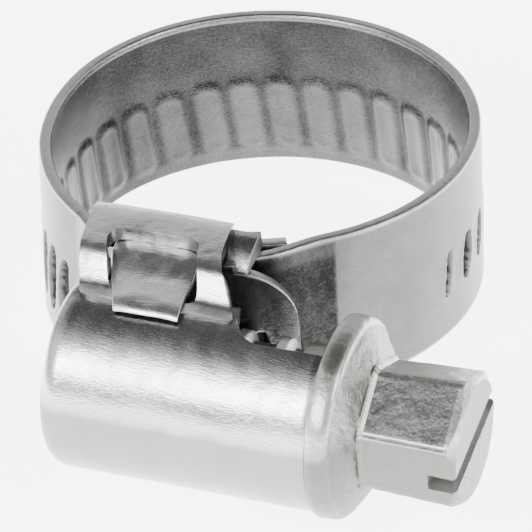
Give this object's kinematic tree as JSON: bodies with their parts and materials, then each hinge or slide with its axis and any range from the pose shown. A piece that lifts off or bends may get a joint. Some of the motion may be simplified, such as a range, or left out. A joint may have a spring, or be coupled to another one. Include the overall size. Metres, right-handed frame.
{
  "type": "worm drive hose clamp",
  "caption": "Stainless worm-drive hose clamp: embossed band loop, folded housing with locking tongue, slotted hex worm screw.",
  "frame": {"origin": "centre of the clamping ring, half way up the band", "axes": "+Z along the ring axis, housing on the -Y side, screw along X with its head towards +X"},
  "size_m": [0.0279, 0.0326, 0.0126],
  "materials": {
    "band_steel": "rolled stainless strip, embossed thread, soft sheen",
    "housing_steel": "bright rolled stainless sheet with fine forming marks",
    "saddle_steel": "bright pressed stainless sheet",
    "screw_steel": "cold-headed stainless, matt and slightly rough, bright worn edges"
  },
  "bodies": {
    "housing": {"screw_housing": "housing_steel", "saddle": "saddle_steel", "band_fixed_end": "band_steel"},
    "screw": {"worm_screw": "screw_steel"},
    "tail": {"band_tail": "band_steel"},
    "link_01": {"band_link_01": "band_steel"},
    "link_02": {"band_link_02": "band_steel"},
    "link_03": {"band_link_03": "band_steel"},
    "link_04": {"band_link_04": "band_steel"},
    "link_05": {"band_link_05": "band_steel"},
    "link_06": {"band_link_06": "band_steel"},
    "link_07": {"band_link_07": "band_steel"},
    "link_08": {"band_link_08": "band_steel"},
    "link_09": {"band_link_09": "band_steel"},
    "link_10": {"band_link_10": "band_steel"},
    "link_11": {"band_link_11": "band_steel"},
    "link_12": {"band_link_12": "band_steel"},
    "link_13": {"band_link_13": "band_steel"}
  },
  "joints": [
    {"name": "screw_spin", "type": "hinge", "parent": "housing", "child": "screw", "pos_m": [0.003, -0.01645, -0.00025], "axis": [-1, 0, 0], "range_deg": [-360, 612]},
    {"name": "tail_feed", "type": "hinge", "parent": "housing", "child": "tail", "pos_m": [0, 0, 0], "axis": [0, 0, 1], "range_deg": [-9.44, 16.04]},
    {"name": "band_flex_01", "type": "hinge", "parent": "housing", "child": "link_01", "pos_m": [0.00684, -0.00845, 0], "axis": [0, 0, 1], "range_deg": [-1.24, 2.1]},
    {"name": "band_flex_02", "type": "hinge", "parent": "link_01", "child": "link_02", "pos_m": [0.00953, -0.00524, 0], "axis": [0, 0, 1], "range_deg": [-0.94, 1.6]},
    {"name": "band_flex_03", "type": "hinge", "parent": "link_02", "child": "link_03", "pos_m": [0.0108, -0.00125, 0], "axis": [0, 0, 1], "range_deg": [-0.66, 1.12]},
    {"name": "band_flex_04", "type": "hinge", "parent": "link_03", "child": "link_04", "pos_m": [0.01047, 0.00293, 0], "axis": [0, 0, 1], "range_deg": [-0.51, 0.87]},
    {"name": "band_flex_05", "type": "hinge", "parent": "link_04", "child": "link_05", "pos_m": [0.00859, 0.00667, 0], "axis": [0, 0, 1], "range_deg": [-0.5, 0.84]},
    {"name": "band_flex_06", "type": "hinge", "parent": "link_05", "child": "link_06", "pos_m": [0.00543, 0.00942, 0], "axis": [0, 0, 1], "range_deg": [-0.55, 0.94]},
    {"name": "band_flex_07", "type": "hinge", "parent": "link_06", "child": "link_07", "pos_m": [0.00147, 0.01078, 0], "axis": [0, 0, 1], "range_deg": [-0.6, 1.02]},
    {"name": "band_flex_08", "type": "hinge", "parent": "link_07", "child": "link_08", "pos_m": [-0.00272, 0.01053, 0], "axis": [0, 0, 1], "range_deg": [-0.6, 1.02]},
    {"name": "band_flex_09", "type": "hinge", "parent": "link_08", "child": "link_09", "pos_m": [-0.00649, 0.00872, 0], "axis": [0, 0, 1], "range_deg": [-0.56, 0.96]},
    {"name": "band_flex_10", "type": "hinge", "parent": "link_09", "child": "link_10", "pos_m": [-0.00931, 0.00562, 0], "axis": [0, 0, 1], "range_deg": [-0.55, 0.94]},
    {"name": "band_flex_11", "type": "hinge", "parent": "link_10", "child": "link_11", "pos_m": [-0.01074, 0.00169, 0], "axis": [0, 0, 1], "range_deg": [-0.64, 1.09]},
    {"name": "band_flex_12", "type": "hinge", "parent": "link_11", "child": "link_12", "pos_m": [-0.01058, -0.0025, 0], "axis": [0, 0, 1], "range_deg": [-0.83, 1.41]},
    {"name": "band_flex_13", "type": "hinge", "parent": "link_12", "child": "link_13", "pos_m": [-0.00976, -0.00663, 0], "axis": [0, 0, 1], "range_deg": [-1.02, 1.73]}
  ],
  "couplings": [
    {"joint": "tail_feed", "follows": "screw_spin", "ratio": 0.025694},
    {"joint": "band_flex_01", "follows": "screw_spin", "ratio": 0.0033665},
    {"joint": "band_flex_02", "follows": "screw_spin", "ratio": 0.0025603},
    {"joint": "band_flex_03", "follows": "screw_spin", "ratio": 0.0017937},
    {"joint": "band_flex_04", "follows": "screw_spin", "ratio": 0.0013912},
    {"joint": "band_flex_05", "follows": "screw_spin", "ratio": 0.0013519},
    {"joint": "band_flex_06", "follows": "screw_spin", "ratio": 0.001502},
    {"joint": "band_flex_07", "follows": "screw_spin", "ratio": 0.0016331},
    {"joint": "band_flex_08", "follows": "screw_spin", "ratio": 0.0016287},
    {"joint": "band_flex_09", "follows": "screw_spin", "ratio": 0.0015321},
    {"joint": "band_flex_10", "follows": "screw_spin", "ratio": 0.0015114},
    {"joint": "band_flex_11", "follows": "screw_spin", "ratio": 0.001741},
    {"joint": "band_flex_12", "follows": "screw_spin", "ratio": 0.0022509},
    {"joint": "band_flex_13", "follows": "screw_spin", "ratio": 0.0027663}
  ]
}
